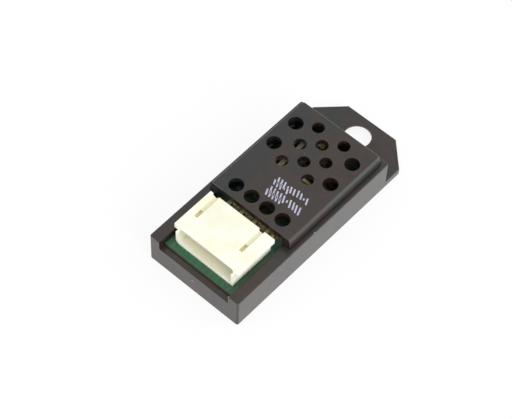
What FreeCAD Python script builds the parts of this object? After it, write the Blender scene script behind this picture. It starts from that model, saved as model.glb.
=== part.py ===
import FreeCAD, Part
import math
import os

# Refrigerator humidity sensor: a black two-piece case with a vented cover and a screw flange,
# a small circuit board with a humidity element, and a low four-way connector.
# All sizes are in millimetres. +X points from the connector to the flange, +Z up.
# The origin is at the bottom, in the middle of the whole length and width.

# Connector: a low side-entry header that lies on the board, with its mouth towards -X
pin_count = 4
pin_pitch = 2.5
pin_size = 0.64
header_height = 3.8
header_depth = 8.25
header_top_margin = 2.55       # from the outer pins to the ends of the top plate
header_body_margin = 1.9       # from the outer pins to the sides of the lower body
header_top_wall = 1.0
header_roof = 0.45             # over the mouth, which reaches up into the top plate
header_floor_wall = 0.6
header_side_wall = 0.45
header_rear_wall = 1.3
header_lip = 0.45              # how far the floor of the mouth stands out past the top plate
header_corner_far = 0.85       # radius of the lower body's bottom corner on the +Y side
header_corner_near = 0.15      # the same on the -Y side
mouth_corner = 0.4
pin_height = 1.6               # middle of a pin above the board
pin_reach = 5.2                # how far a pin stands into the socket
pin_tip = 0.2                  # taper at both ends of a pin
pin_bend = 0.7                 # radius at the middle of a pin's bend
pin_leg_gap = 2.4              # from the header's rear face to the middle of a pin's leg
pin_tail = 1.2                 # how far a leg stands out below the board
lock_slot_length = 1.5
lock_slot_width = 0.7
lock_slot_back = 4.1           # from the header's rear face to the middle of a lock slot
lock_slot_far = 1.12           # the +Y lock slot, outwards from the outer pin
lock_slot_near = 0.17          # the -Y lock slot, outwards from the outer pin
lock_groove_depth = 0.15
rear_notch_depth = 0.3
rear_notch_width = 1.0
rear_notch_far = 1.5           # the +Y notch, outwards from the outer pin
rear_notch_near = 0.1          # the -Y notch, outwards from the outer pin

# Case base
floor_thickness = 1.2
board_standoff = 1.8
rim_above_board = 1.15
sill_below_board = 0.55
front_wall = 1.05
side_leaf = 0.74               # the side wall beside the cover
rear_leaf = 0.64               # the rear wall behind the cover
shoulder_width = 1.21          # the step inside the leaves that the cover's skirt stands on
board_rib_width = 0.8
case_corner = 0.35
rim_round = 0.15
header_side_gap = 1.15         # from the connector's lower body to the pocket's wall
header_front_gap = 1.25        # from the front wall's inside to the connector's lip

# Flange with its screw hole
flange_thickness = 1.2
flange_reach = 7.0
flange_corner = 3.95
flange_round = 0.25
mount_hole_radius = 2.2
mount_hole_offset = 3.45       # from the case's rear face

# Circuit board
board_thickness = 1.6
board_gap = 0.1
pin_hole_clearance = 0.08      # from a pin's corner to the wall of its hole
peg_radius = 0.6
peg_clearance = 0.1
peg_above_board = 0.4
post_width = 0.6               # how far the post stands out round its peg
solder_height = 0.55
solder_spread = 0.45
solder_skin = 0.02             # thickness of the solder at a leg's corners, where a fillet ends

# Cover
cover_setback = 1.57           # from the header's rear face to the cover's front edge
cover_gap = 0.06
cover_rise = 2.03              # from the rim to the cover's top
plate_thickness = 1.0
cover_lean = 0.41              # how far the sides and the rear lean inwards from the rim to the top
skirt_thickness = 1.56
cover_corner = 0.5
cover_round = 0.3
large_vent_radius = 1.2
small_vent_radius = 1.0
front_vent_inset = 2.1
front_vent_pitch = 3.04
front_vent_count = 4
vent_step = 2.075              # between the columns of small vents
vent_columns = 5
vent_offset = 0.4              # the vents' middle column, rearwards from the humidity element's middle
small_vent_side = 2.55
large_vent_side = 5.6
large_vent_spread = 2.475      # of the large vents from the middle column
snap_length = 3.0
snap_depth = 0.25
snap_height = 0.6
snap_slope = 0.4               # height of a snap's sloping lower face
snap_above_board = 0.3
snap_clearance = 0.1
snap_inset = 4.5               # from the cover's front and rear edges

# Humidity element: a ceramic plate with two printed combs in a moulded frame
element_length = 8.0
element_width = 7.0
element_height = 1.0
element_wall = 0.7
element_floor = 0.3
element_offset = 0.1           # towards +Y from the middle
element_rear_gap = 0.56        # from the rear lead's foot to the inside of the cover's skirt
element_clearance = 0.05
substrate_thickness = 0.35
comb_thickness = 0.05
comb_finger_width = 0.3
comb_finger_gap = 0.3
comb_bar_width = 0.5
comb_edge = 0.25
comb_end_gap = 0.35
film_thickness = 0.08
lead_width = 0.5
lead_thickness = 0.2
lead_foot = 0.6
lead_overlap = 0.4             # how far a lead lies on its comb's bar
lead_solder_reach = 0.25

# Amplifier chip with gull-wing leads
chip_width = 3.9
chip_length = 4.9
chip_height = 1.35
chip_standoff = 0.12
chip_lead_pitch = 1.27
chip_leads_per_side = 4
chip_lead_width = 0.42
chip_lead_thickness = 0.2
chip_lead_reach = 1.05
chip_foot = 0.6
chip_lead_rise = 0.65          # from the board to the middle of a lead where it leaves the chip
chip_gap = 0.4                 # from the chip's lead tips to the solder on either side
chip_mark_radius = 0.3
chip_mark_inset = 0.9
chip_mark_depth = 0.1
chip_bevel = 0.2

# Small parts on the board: length and width are along X and Y
resistor_length = 2.0
resistor_width = 1.25
resistor_height = 0.5
resistor_cap = 0.4
capacitor_length = 1.6
capacitor_width = 0.8
capacitor_height = 0.8
capacitor_cap = 0.35
cap_skin = 0.03                # how much an end cap stands out round its body
regulator_length = 2.9
regulator_width = 1.3
regulator_height = 1.0
regulator_standoff = 0.1
regulator_lead_width = 0.4
regulator_lead_thickness = 0.15
regulator_lead_reach = 0.55
regulator_lead_spread = 0.95
regulator_bevel = 0.12
row_gap = 0.35                 # between the humidity element and the rows of small parts
row_step = 3.2                 # between the parts that stand beside the humidity element
regulator_shift = 0.96         # from the chip's middle towards -X
first_resistor_shift = 0.96    # from the chip's middle towards +X
first_capacitor_shift = 2.24   # from the chip's middle towards +X
last_capacitor_shift = 0.64    # from the humidity element's middle towards -X
thermistor_shift = 1.92        # from the humidity element's middle towards +X
front_peg_shift = 2.24         # from the chip's middle towards -X
rear_peg_shift = 4.48          # from the humidity element's middle towards +X
peg_outset = 0.3               # of the pegs, outwards from the rows

# How far a cutting shape stands out past what it cuts
overcut = 1.0

# Places that follow from the sizes
pin_span = (pin_count - 1) * pin_pitch
pin_places = [i * pin_pitch - pin_span / 2 for i in range(pin_count)]
header_width = pin_span + 2 * header_top_margin
body_width = pin_span + 2 * header_body_margin
pocket_width = body_width + 2 * header_side_gap
case_width = pocket_width + 2 * (shoulder_width + side_leaf)
pin_corner = math.hypot(pin_size, pin_size) / 2
pin_hole_radius = pin_corner + pin_hole_clearance
solder_radius = pin_hole_radius + solder_spread
lead_span = element_length + 2 * (element_clearance + lead_thickness + lead_foot + lead_solder_reach)
chip_span = chip_width + 2 * chip_lead_reach
leg_to_chip = solder_radius + chip_gap + chip_span / 2
chip_to_element = chip_span / 2 + chip_gap + lead_span / 2
element_to_rear = lead_span / 2 + element_rear_gap + skirt_thickness + cover_gap + rear_leaf
front_to_leg = front_wall + header_front_gap + header_depth + pin_leg_gap
case_length = front_to_leg + leg_to_chip + chip_to_element + element_to_rear
overall_length = case_length + flange_reach
front_x = -overall_length / 2
case_rear_x = front_x + case_length
pocket_front_x = front_x + front_wall
pocket_rear_x = case_rear_x - rear_leaf - shoulder_width
board_bottom_z = floor_thickness + board_standoff
board_top_z = board_bottom_z + board_thickness
rim_z = board_top_z + rim_above_board
sill_z = board_top_z - sill_below_board
lip_x = pocket_front_x + header_front_gap
header_plate_x = lip_x + header_lip
header_rear_x = lip_x + header_depth
header_top_z = board_top_z + header_height
header_plate_z = header_top_z - header_top_wall
pin_z = board_top_z + pin_height
pin_leg_x = header_rear_x + pin_leg_gap
cover_front_x = header_rear_x + cover_setback
cover_rear_x = case_rear_x - rear_leaf - cover_gap
cover_width = case_width - 2 * (side_leaf + cover_gap)
cover_top_z = rim_z + cover_rise
board_front_x = pocket_front_x + board_gap
board_rear_x = pocket_rear_x - board_gap
board_width = pocket_width - 2 * board_gap
chip_x = pin_leg_x + leg_to_chip
element_x = chip_x + chip_to_element
vent_middle_x = element_x + vent_offset
row_y = element_width / 2 + element_offset + row_gap + resistor_width / 2

os.makedirs("parts", exist_ok=True)


def save(name, shape):
    """Write one sub-part to its own file."""
    shape.exportStep("parts/" + name + ".step")
    print(name, "solids", len(shape.Solids), "volume", round(shape.Volume, 3), "valid", shape.isValid())


def block(low, high):
    """A box from its lowest to its highest corner."""
    size = [high[i] - low[i] for i in range(3)]
    return Part.makeBox(size[0], size[1], size[2], FreeCAD.Vector(*low))


def centred(x, y, low_z, length, width, height):
    """A box by the middle of its plan, its lowest height and its size."""
    low = (x - length / 2, y - width / 2, low_z)
    return block(low, (x + length / 2, y + width / 2, low_z + height))


def post(x, y, low_z, high_z, radius):
    """An upright cylinder."""
    return Part.makeCylinder(radius, high_z - low_z, FreeCAD.Vector(x, y, low_z))


def outline_face(points):
    """A flat face with straight edges from point to point."""
    corners = [FreeCAD.Vector(*point) for point in points]
    return Part.Face(Part.makePolygon(corners + [corners[0]]))


def prism(points, along):
    """A flat outline of points, pushed along a vector."""
    return outline_face(points).extrude(FreeCAD.Vector(*along))


def edges_where(shape, test):
    """The edges whose two ends both pass a test."""
    return [edge for edge in shape.Edges if all(test(vertex.Point) for vertex in edge.Vertexes)]


def upright_edges(shape, test):
    """The vertical edges whose place in the plan passes a test."""
    found = []
    for edge in shape.Edges:
        start, end = edge.Vertexes[0].Point, edge.Vertexes[-1].Point
        upright = math.hypot(start.x - end.x, start.y - end.y) < 1e-6
        if upright and abs(start.z - end.z) > 1e-6 and test(start):
            found.append(edge)
    return found


def near(value, target):
    return abs(value - target) < 1e-4


def cut_all(shape, tools):
    """Cut every tool out of a shape."""
    return shape.cut(Part.makeCompound(tools))


def fuse_all(shapes):
    """One solid from several that touch or cross."""
    return shapes[0].multiFuse(shapes[1:]).removeSplitter()


# Places where the base's pegs locate the board
peg_places = [
    (chip_x - front_peg_shift, -row_y - peg_outset),
    (element_x + rear_peg_shift, row_y + peg_outset),
]

# Middle of each snap along X, the same on both sides
snap_places = [cover_front_x + snap_inset, cover_rear_x - snap_inset]


def case_base():
    """The tray that holds the board, with the flange on its rear end."""
    half = case_width / 2
    body = block((front_x, -half, 0), (case_rear_x, half, rim_z))
    body = body.makeFillet(case_corner, upright_edges(body, lambda p: near(abs(p.y), half)))
    body = body.makeFillet(rim_round, edges_where(body, lambda p: near(p.z, rim_z)))
    tip_x = front_x + overall_length
    root_x = case_rear_x - rear_leaf / 2
    flange = prism([
        (root_x, -half, 0),
        (tip_x - flange_corner, -half, 0),
        (tip_x, -half + flange_corner, 0),
        (tip_x, half - flange_corner, 0),
        (tip_x - flange_corner, half, 0),
        (root_x, half, 0),
    ], (0, 0, flange_thickness))
    top_edges = edges_where(flange, lambda p: near(p.z, flange_thickness) and p.x > root_x + 1e-3)
    flange = flange.makeFillet(flange_round, top_edges)

    pocket_half = pocket_width / 2
    seat_half = half - side_leaf
    seat_rear_x = case_rear_x - rear_leaf
    above = rim_z + overcut
    seat = block((cover_front_x - cover_gap, -seat_half, board_top_z), (seat_rear_x, seat_half, above))
    seat = seat.makeFillet(cover_corner + cover_gap, upright_edges(seat, lambda p: near(p.x, seat_rear_x)))
    tools = [
        block((pocket_front_x, -pocket_half, floor_thickness), (pocket_rear_x, pocket_half, above)),
        block((front_x - overcut, -pocket_half, sill_z), (pocket_front_x + overcut, pocket_half, above)),
        seat,
    ]
    for x in snap_places:
        for side in (-1, 1):
            low_z = board_top_z + snap_above_board - snap_clearance
            depth = snap_depth - cover_gap + snap_clearance
            recess = centred(x, side * seat_half, low_z, snap_length + 2 * snap_clearance, 2 * depth,
                             snap_height + 2 * snap_clearance)
            tools.append(recess)
    tray = cut_all(body, tools)

    ribs = []
    for side in (-1, 1):
        middle_y = side * (pocket_half - board_rib_width / 2)
        length = pocket_rear_x - pocket_front_x
        ribs.append(centred((pocket_front_x + pocket_rear_x) / 2, middle_y, floor_thickness,
                            length, board_rib_width, board_standoff))
    for x, y in peg_places:
        ribs.append(post(x, y, floor_thickness, board_bottom_z, peg_radius + post_width))
        ribs.append(post(x, y, floor_thickness, board_top_z + peg_above_board, peg_radius))
    base = fuse_all([tray, flange] + ribs)
    hole = post(case_rear_x + mount_hole_offset, 0, -overcut, flange_thickness + overcut, mount_hole_radius)
    return base.cut(hole)


def vent_places():
    """Middle and radius of every vent in the cover."""
    places = []
    for i in range(front_vent_count):
        y = (i - (front_vent_count - 1) / 2) * front_vent_pitch
        places.append((cover_front_x + front_vent_inset, y, large_vent_radius))
    for column in range(vent_columns):
        x = vent_middle_x + (column - (vent_columns - 1) / 2) * vent_step
        rows = [0] if column % 2 else [-small_vent_side, small_vent_side]
        places += [(x, y, small_vent_radius) for y in rows]
    for x_side in (-1, 1):
        for y_side in (-1, 1):
            x = vent_middle_x + x_side * large_vent_spread
            places.append((x, y_side * large_vent_side, large_vent_radius))
    return places


def cover_outline(inset, z):
    """The cover's outline at one height, with its two rear corners rounded."""
    half = cover_width / 2 - inset
    rear_x = cover_rear_x - inset
    start_x = rear_x - cover_corner
    end_y = half - cover_corner
    arc_middle = cover_corner * (1 - math.cos(math.pi / 4))

    def at(x, y):
        return FreeCAD.Vector(x, y, z)

    pieces = [
        Part.LineSegment(at(cover_front_x, half), at(start_x, half)),
        Part.Arc(at(start_x, half), at(rear_x - arc_middle, half - arc_middle), at(rear_x, end_y)),
        Part.LineSegment(at(rear_x, end_y), at(rear_x, -end_y)),
        Part.Arc(at(rear_x, -end_y), at(rear_x - arc_middle, arc_middle - half), at(start_x, -half)),
        Part.LineSegment(at(start_x, -half), at(cover_front_x, -half)),
        Part.LineSegment(at(cover_front_x, -half), at(cover_front_x, half)),
    ]
    return Part.Wire([piece.toShape() for piece in pieces])


def case_cover():
    """The vented cover: a plate with a skirt on three sides, open towards the connector."""
    half = cover_width / 2
    foot = Part.Face(cover_outline(0, board_top_z)).extrude(FreeCAD.Vector(0, 0, rim_above_board))
    leaning = Part.makeLoft([cover_outline(0, rim_z), cover_outline(cover_lean, cover_top_z)], True, True)
    shell = fuse_all([foot, leaning])
    shell = shell.makeFillet(cover_round, edges_where(shell, lambda p: near(p.z, cover_top_z)))
    inner_half = half - skirt_thickness
    hollow = block((cover_front_x - overcut, -inner_half, board_top_z - overcut),
                   (cover_rear_x - skirt_thickness, inner_half, cover_top_z - plate_thickness))
    tools = [hollow]
    for x, y, radius in vent_places():
        tools.append(post(x, y, cover_top_z - plate_thickness - overcut, cover_top_z + overcut, radius))
    shell = cut_all(shell, tools)
    snaps = []
    for x in snap_places:
        for side in (-1, 1):
            # A ridge with a sloping lower face, so that it slides past the rim
            root_y = side * (half - skirt_thickness / 2)
            face_y = side * half
            tip_y = side * (half + snap_depth)
            low_z = board_top_z + snap_above_board
            high_z = low_z + snap_height
            ridge = prism([
                (x - snap_length / 2, root_y, low_z),
                (x - snap_length / 2, face_y, low_z),
                (x - snap_length / 2, tip_y, low_z + snap_slope),
                (x - snap_length / 2, tip_y, high_z),
                (x - snap_length / 2, root_y, high_z),
            ], (snap_length, 0, 0))
            snaps.append(ridge)
    return fuse_all([shell] + snaps)


def circuit_board():
    """The board, with holes for the connector's legs and the base's pegs."""
    half = board_width / 2
    board = block((board_front_x, -half, board_bottom_z), (board_rear_x, half, board_top_z))
    holes = []
    for y in pin_places:
        holes.append(post(pin_leg_x, y, board_bottom_z - overcut, board_top_z + overcut, pin_hole_radius))
    for x, y in peg_places:
        holes.append(post(x, y, board_bottom_z - overcut, board_top_z + overcut, peg_radius + peg_clearance))
    return cut_all(board, holes)


def lock_places():
    """Across the header: the middle of each lock slot, and of the notch behind it."""
    return [
        (pin_places[-1] + lock_slot_far, pin_places[-1] + rear_notch_far),
        (pin_places[0] - lock_slot_near, pin_places[0] - rear_notch_near),
    ]


def connector_housing():
    """The shrouded header: a lower body with one bottom corner well rounded, under a wider top plate."""
    half = body_width / 2
    body = block((lip_x, -half, board_top_z), (header_rear_x, half, header_plate_z))
    for side, radius in ((1, header_corner_far), (-1, header_corner_near)):
        corner = edges_where(body, lambda p: near(p.z, board_top_z) and near(p.y, side * half))
        body = body.makeFillet(radius, corner)
    plate_half = header_width / 2
    plate = block((header_plate_x, -plate_half, header_plate_z), (header_rear_x, plate_half, header_top_z))
    housing = fuse_all([body, plate])
    inner_half = half - header_side_wall
    cavity_low = board_top_z + header_floor_wall
    cavity_rear_x = header_rear_x - header_rear_wall
    cavity = block((lip_x - overcut, -inner_half, cavity_low), (cavity_rear_x, inner_half, header_top_z - header_roof))
    for side in (-1, 1):
        for z in (cavity_low, header_top_z - header_roof):
            corner = edges_where(cavity, lambda p: near(p.z, z) and near(p.y, side * inner_half))
            cavity = cavity.makeFillet(mouth_corner, corner)
    tools = [cavity]
    slot_x = header_rear_x - lock_slot_back
    for slot_y, notch_y in lock_places():
        tools.append(centred(slot_x, slot_y, header_plate_z, lock_slot_length, lock_slot_width,
                             header_top_wall + overcut))
        tools.append(centred(header_rear_x, slot_y, header_top_z - lock_groove_depth, 2 * lock_slot_back,
                             lock_slot_width, overcut))
        tools.append(centred(header_rear_x, notch_y, header_plate_z, 2 * rear_notch_depth, rear_notch_width,
                             header_top_wall + overcut))
    for y in pin_places:
        tools.append(centred(header_rear_x, y, pin_z - pin_size / 2, 2 * header_rear_wall + overcut,
                             pin_size, pin_size))
    return cut_all(housing, tools)


def contact_pin(y):
    """One square pin: straight out of the socket's rear wall, bent down and through the board."""
    half = pin_size / 2
    tip_x = header_rear_x - header_rear_wall - pin_reach
    tail_z = board_bottom_z - pin_tail
    bend_x = pin_leg_x - pin_bend
    bend_z = pin_z - pin_bend
    run = centred((tip_x + pin_tip + bend_x) / 2, y, pin_z - half, bend_x - tip_x - pin_tip, pin_size, pin_size)
    leg = block((pin_leg_x - half, y - half, tail_z + pin_tip), (pin_leg_x + half, y + half, bend_z))
    section = outline_face([
        (bend_x, y - half, pin_z - half),
        (bend_x, y + half, pin_z - half),
        (bend_x, y + half, pin_z + half),
        (bend_x, y - half, pin_z + half),
    ])
    bend = section.revolve(FreeCAD.Vector(bend_x, y, bend_z), FreeCAD.Vector(0, 1, 0), 90)
    tip = taper((tip_x + pin_tip, y, pin_z), (-1, 0, 0))
    tail = taper((pin_leg_x, y, tail_z + pin_tip), (0, 0, -1))
    return fuse_all([run, bend, leg, tip, tail])


def taper(start, direction):
    """The tapered end of a pin, from a full square to one that is smaller."""
    half = pin_size / 2
    small = half - pin_tip / 2
    normal = FreeCAD.Vector(*direction)
    side = FreeCAD.Vector(0, 1, 0)
    across = normal.cross(side)
    centre = FreeCAD.Vector(*start)
    wires = []
    for reach, size in ((0, half), (pin_tip, small)):
        middle = centre + normal * reach
        corners = [middle + side * (a * size) + across * (b * size) for a, b in ((-1, -1), (1, -1), (1, 1), (-1, 1))]
        wires.append(Part.makePolygon(corners + [corners[0]]))
    return Part.makeLoft(wires, True, True)


def pin_solder(y):
    """The solder of one leg: it fills the hole and flares out onto both faces of the board."""
    narrow = pin_corner + solder_skin
    outline = [
        (0, board_bottom_z - solder_height),
        (narrow, board_bottom_z - solder_height),
        (solder_radius, board_bottom_z),
        (pin_hole_radius, board_bottom_z),
        (pin_hole_radius, board_top_z),
        (solder_radius, board_top_z),
        (narrow, board_top_z + solder_height),
        (0, board_top_z + solder_height),
    ]
    face = outline_face([(pin_leg_x + radius, y, z) for radius, z in outline])
    body = face.revolve(FreeCAD.Vector(pin_leg_x, y, 0), FreeCAD.Vector(0, 0, 1), 360)
    leg_height = board_thickness + 2 * (solder_height + overcut)
    leg = centred(pin_leg_x, y, board_bottom_z - solder_height - overcut, pin_size, pin_size, leg_height)
    return body.cut(leg)


# Heights inside the humidity element
substrate_z = board_top_z + element_floor
comb_z = substrate_z + substrate_thickness
film_z = comb_z + comb_thickness
substrate_length = element_length - 2 * (element_wall + element_clearance)
substrate_width = element_width - 2 * (element_wall + element_clearance)


def element_frame():
    """The moulded frame that carries the ceramic plate, cut through at both ends for the leads."""
    frame = centred(element_x, element_offset, board_top_z, element_length, element_width, element_height)
    window = centred(element_x, element_offset, substrate_z, element_length - 2 * element_wall,
                     element_width - 2 * element_wall, element_height)
    doorway = centred(element_x, element_offset, comb_z, element_length + overcut,
                      lead_width + 2 * element_clearance, element_height)
    return cut_all(frame, [window, doorway])


def element_substrate():
    """The ceramic plate."""
    return centred(element_x, element_offset, substrate_z, substrate_length, substrate_width, substrate_thickness)


def comb(side):
    """One printed comb: a bar across one end of the plate, with fingers towards the other end."""
    reach = substrate_length / 2 - comb_edge
    bar_x = element_x + side * (reach - comb_bar_width / 2)
    bar_length = substrate_width - 2 * comb_edge
    pieces = [centred(bar_x, element_offset, comb_z, comb_bar_width, bar_length, comb_thickness)]
    pitch = comb_finger_width + comb_finger_gap
    count = int((bar_length + comb_finger_gap) / pitch)
    start_x = side * (reach - comb_bar_width / 2)
    end_x = -side * (reach - comb_bar_width - comb_end_gap)
    low_x, high_x = sorted((element_x + start_x, element_x + end_x))
    for i in range(count):
        if i % 2 == (0 if side > 0 else 1):
            y = element_offset + (i - (count - 1) / 2) * pitch
            pieces.append(centred((low_x + high_x) / 2, y, comb_z, high_x - low_x, comb_finger_width, comb_thickness))
    return fuse_all(pieces)


def sensing_film():
    """The polymer film that lies over the combs' fingers, between the two bars."""
    reach = substrate_length / 2 - comb_edge - comb_bar_width
    width = substrate_width - 2 * comb_edge
    return centred(element_x, element_offset, film_z, 2 * reach, width, film_thickness)


def element_lead(side):
    """A flat lead from a comb's bar, out through the frame and down to a foot on the board."""
    bar_outer = element_length / 2 - element_wall - element_clearance - comb_edge
    inner = bar_outer - lead_overlap
    wall = element_length / 2 + element_clearance
    outline = [
        (inner, film_z),
        (wall, film_z),
        (wall, board_top_z),
        (wall + lead_thickness + lead_foot, board_top_z),
        (wall + lead_thickness + lead_foot, board_top_z + lead_thickness),
        (wall + lead_thickness, board_top_z + lead_thickness),
        (wall + lead_thickness, film_z + lead_thickness),
        (inner, film_z + lead_thickness),
    ]
    low_y = element_offset - lead_width / 2
    return prism([(element_x + side * x, low_y, z) for x, z in outline], (0, lead_width, 0))


def lead_solder():
    """A wedge of solder at the end of each lead's foot."""
    wedges = []
    foot_end = element_length / 2 + element_clearance + lead_thickness + lead_foot
    for side in (-1, 1):
        outline = [
            (foot_end, board_top_z),
            (foot_end + lead_solder_reach, board_top_z),
            (foot_end, board_top_z + lead_thickness),
        ]
        points = [(element_x + side * x, element_offset - lead_width / 2, z) for x, z in outline]
        wedges.append(prism(points, (0, lead_width, 0)))
    return Part.makeCompound(wedges)


def chip_lead_outline(root, reach, rise, foot, thickness):
    """Points of a gull-wing lead in a plane: out from the chip, down, and out along the board."""
    half = thickness / 2
    knee = root + (reach - foot) / 2
    heel = root + reach - foot
    return [
        (root, rise - half),
        (knee - half, rise - half),
        (heel - half, 0),
        (root + reach, 0),
        (root + reach, thickness),
        (heel + half, thickness),
        (knee + half, rise + half),
        (root, rise + half),
    ]


def amplifier_chip():
    """The chip's moulded body, with a corner mark cut in beside the first lead."""
    low_z = board_top_z + chip_standoff
    body = centred(chip_x, 0, low_z, chip_width, chip_length, chip_height)
    top_z = low_z + chip_height
    body = body.makeChamfer(chip_bevel, edges_where(body, lambda p: near(p.z, top_z)))
    mark_x = chip_x - chip_width / 2 + chip_mark_inset
    mark_y = -chip_length / 2 + chip_mark_inset
    return body.cut(post(mark_x, mark_y, top_z - chip_mark_depth, top_z + overcut, chip_mark_radius))


def amplifier_leads():
    """The chip's leads, as separate solids."""
    leads = []
    outline = chip_lead_outline(chip_width / 2, chip_lead_reach, chip_lead_rise, chip_foot, chip_lead_thickness)
    for side in (-1, 1):
        for i in range(chip_leads_per_side):
            y = (i - (chip_leads_per_side - 1) / 2) * chip_lead_pitch - chip_lead_width / 2
            points = [(chip_x + side * x, y, board_top_z + z) for x, z in outline]
            leads.append(prism(points, (0, chip_lead_width, 0)))
    return Part.makeCompound(leads)


def regulator(x, y):
    """The three-lead regulator's moulded body."""
    low_z = board_top_z + regulator_standoff
    body = centred(x, y, low_z, regulator_length, regulator_width, regulator_height)
    return body.makeChamfer(regulator_bevel, edges_where(body, lambda p: near(p.z, low_z + regulator_height)))


def regulator_leads(x, y):
    """Two leads on one side of the regulator and one on the other."""
    rise = regulator_standoff + regulator_height / 2
    outline = chip_lead_outline(regulator_width / 2, regulator_lead_reach, rise, regulator_lead_reach / 2,
                                regulator_lead_thickness)
    leads = []
    for side, offset in ((-1, -regulator_lead_spread), (-1, regulator_lead_spread), (1, 0)):
        low_x = x + offset - regulator_lead_width / 2
        points = [(low_x, y + side * reach, board_top_z + z) for reach, z in outline]
        leads.append(prism(points, (regulator_lead_width, 0, 0)))
    return Part.makeCompound(leads)


def small_part_body(x, y, length, width, height, cap):
    """The body of a chip resistor, capacitor or thermistor, without its end caps."""
    return centred(x, y, board_top_z + cap_skin, length - 2 * cap, width, height)


def small_part_caps(x, y, length, width, height, cap):
    """The two metal end caps, which carry the body just clear of the board."""
    caps = []
    for side in (-1, 1):
        cap_x = x + side * (length - cap) / 2
        caps.append(centred(cap_x, y, board_top_z, cap, width + 2 * cap_skin, height + 2 * cap_skin))
    return Part.makeCompound(caps)


save("case_base", case_base())
save("case_cover", case_cover())
save("circuit_board", circuit_board())
save("connector_housing", connector_housing())
for number, place in enumerate(pin_places, 1):
    save(f"contact_pin_{number}", contact_pin(place))
    save(f"pin_solder_{number}", pin_solder(place))
save("humidity_element_frame", element_frame())
save("humidity_element_plate", element_substrate())
save("comb_electrode_front", comb(-1))
save("comb_electrode_rear", comb(1))
save("sensing_film", sensing_film())
save("element_lead_front", element_lead(-1))
save("element_lead_rear", element_lead(1))
save("amplifier_chip", amplifier_chip())
save("amplifier_chip_leads", amplifier_leads())
save("element_lead_solder", lead_solder())

# Small parts stand in a row on each side of the chip and the element
regulator_place = (chip_x - regulator_shift, row_y)
save("voltage_regulator", regulator(*regulator_place))
save("voltage_regulator_leads", regulator_leads(*regulator_place))

resistor_size = (resistor_length, resistor_width, resistor_height, resistor_cap)
capacitor_size = (capacitor_length, capacitor_width, capacitor_height, capacitor_cap)
small_parts = [
    ("chip_resistor_1", chip_x + first_resistor_shift, -row_y, resistor_size),
    ("chip_resistor_2", element_x - row_step, -row_y, resistor_size),
    ("chip_resistor_3", element_x, -row_y, resistor_size),
    ("chip_resistor_4", element_x + row_step, -row_y, resistor_size),
    ("chip_capacitor_1", chip_x + first_capacitor_shift, row_y, capacitor_size),
    ("chip_capacitor_2", element_x - row_step, row_y, capacitor_size),
    ("chip_capacitor_3", element_x - last_capacitor_shift, row_y, capacitor_size),
    ("thermistor", element_x + thermistor_shift, row_y, capacitor_size),
]
for name, x, y, size in small_parts:
    save(name, small_part_body(x, y, *size))
    save(name + "_caps", small_part_caps(x, y, *size))
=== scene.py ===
import bmesh
import bpy
import math
import random
from mathutils import Matrix, Vector


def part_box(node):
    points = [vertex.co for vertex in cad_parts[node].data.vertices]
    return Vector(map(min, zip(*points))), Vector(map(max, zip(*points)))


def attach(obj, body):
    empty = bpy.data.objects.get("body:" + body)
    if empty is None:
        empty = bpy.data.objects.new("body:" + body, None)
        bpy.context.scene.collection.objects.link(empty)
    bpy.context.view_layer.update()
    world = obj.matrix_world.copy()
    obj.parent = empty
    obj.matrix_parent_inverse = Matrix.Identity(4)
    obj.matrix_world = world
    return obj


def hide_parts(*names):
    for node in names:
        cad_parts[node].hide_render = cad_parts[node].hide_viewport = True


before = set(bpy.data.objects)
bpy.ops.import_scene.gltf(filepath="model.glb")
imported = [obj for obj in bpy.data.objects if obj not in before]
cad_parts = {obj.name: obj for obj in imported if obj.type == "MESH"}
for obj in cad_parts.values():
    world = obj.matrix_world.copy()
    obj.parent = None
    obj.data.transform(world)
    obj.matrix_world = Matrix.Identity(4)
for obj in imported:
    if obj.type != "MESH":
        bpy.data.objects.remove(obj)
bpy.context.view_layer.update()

# Case base
# A tray moulded in black plastic, with a cut-down front wall and a thin flange on its rear end.
# The flange's corners are cut off and it has one plain screw hole. Ribs and two pegs inside carry
# the board, and the cover stands on the steps inside the side and rear walls.

MM = 0.001
# In millimetres: points this close are merged, and an edge this near a plane counts as on it
merge_gap = 0.002
tolerance = 0.001


def box_mm(node):
    """Lowest and highest corner of a CAD node, in millimetres."""
    low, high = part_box(node)
    return low / MM, high / MM


def take(piece):
    """Select one piece alone and make it active, out of edit mode."""
    if bpy.context.mode == "EDIT_MESH":
        bpy.ops.object.mode_set(mode="OBJECT")
    bpy.ops.object.select_all(action="DESELECT")
    piece.select_set(True)
    bpy.context.view_layer.objects.active = piece


def new_block(name, low, high):
    """A block between two corners, in millimetres."""
    bpy.ops.object.select_all(action="DESELECT")
    middle = [(a + b) / 2 * MM for a, b in zip(low, high)]
    bpy.ops.mesh.primitive_cube_add(size=MM, location=middle)
    piece = bpy.context.object
    piece.name = piece.data.name = name
    piece.scale = [b - a for a, b in zip(low, high)]
    bpy.ops.object.transform_apply(location=True, rotation=True, scale=True)
    return piece


def new_post(name, x, y, low_z, high_z, radius, sides):
    """An upright cylinder, in millimetres."""
    bpy.ops.object.select_all(action="DESELECT")
    middle = (x * MM, y * MM, (low_z + high_z) / 2 * MM)
    bpy.ops.mesh.primitive_cylinder_add(vertices=sides, radius=radius * MM,
                                        depth=(high_z - low_z) * MM, location=middle)
    piece = bpy.context.object
    piece.name = piece.data.name = name
    bpy.ops.object.transform_apply(location=True, rotation=True, scale=True)
    return piece


def combine(piece, others, operation):
    """Cut the other shapes out of a piece, or merge them into it, and clear them away."""
    for other in others:
        modifier = piece.modifiers.new("shape", "BOOLEAN")
        modifier.operation = operation
        modifier.solver = "EXACT"
        modifier.object = other
        take(piece)
        bpy.ops.object.modifier_apply(modifier=modifier.name)
        bpy.data.objects.remove(other)


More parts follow.
